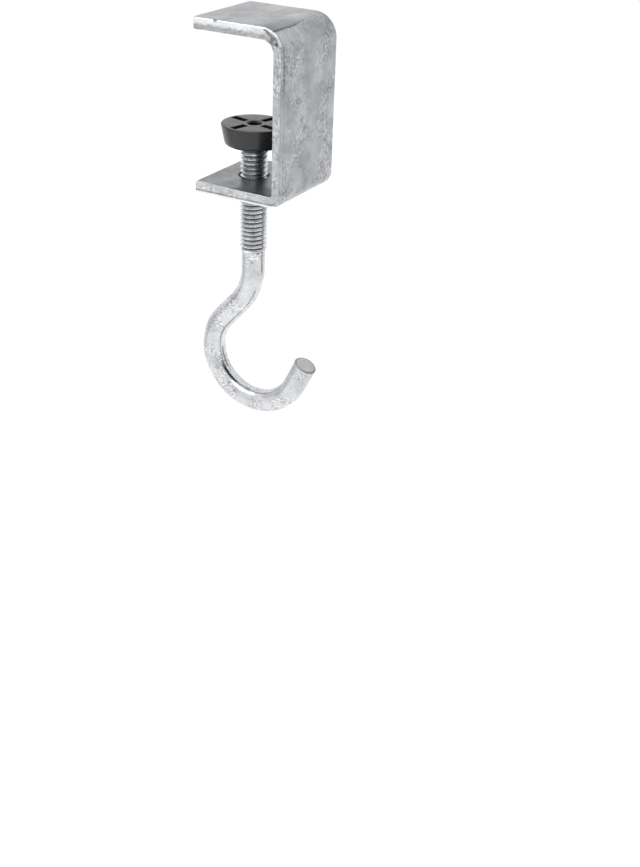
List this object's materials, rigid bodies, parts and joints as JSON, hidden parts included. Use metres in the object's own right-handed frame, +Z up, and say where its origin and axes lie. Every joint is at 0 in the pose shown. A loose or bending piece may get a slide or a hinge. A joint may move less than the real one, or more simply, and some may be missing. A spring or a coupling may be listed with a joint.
{
  "type": "desk bag hook",
  "caption": "Clamp-on desk hook: a bent flat-bar bracket, a screw with a swivelling pressure pad, and a round rod hook bent on the screw's lower end.",
  "frame": {"origin": "on the screw's axis, in the plane of the upper jaw's underside, which rests on the desk top", "axes": "+Z up along the screw, towards the upper jaw; +X towards the web, the bracket's closed side; Y across the bar"},
  "size_m": [0.0476, 0.035, 0.1452],
  "materials": {
    "galvanised_bar": "galvanised, mottled satin grey",
    "zinc_plated_rod": "bright zinc plate, partly matt",
    "black_plastic": "moulded, soft sheen"
  },
  "bodies": {
    "bracket": {"bracket": "galvanised_bar"},
    "pad": {"pressure_pad": "black_plastic"},
    "hook": {"hook_screw": "zinc_plated_rod"}
  },
  "joints": [
    {"name": "clamp_travel", "type": "slide", "parent": "bracket", "child": "pad", "axis": [0, 0, 1], "range_m": [-0.0105, 0.024]},
    {"name": "screw_turn", "type": "hinge", "parent": "pad", "child": "hook", "pos_m": [0, 0, -0.05], "axis": [0, 0, 1], "range_deg": [-2381, 5442]}
  ],
  "couplings": [
    {"joint": "clamp_travel", "follows": "screw_turn", "m_per_rad": 0.00025266}
  ]
}
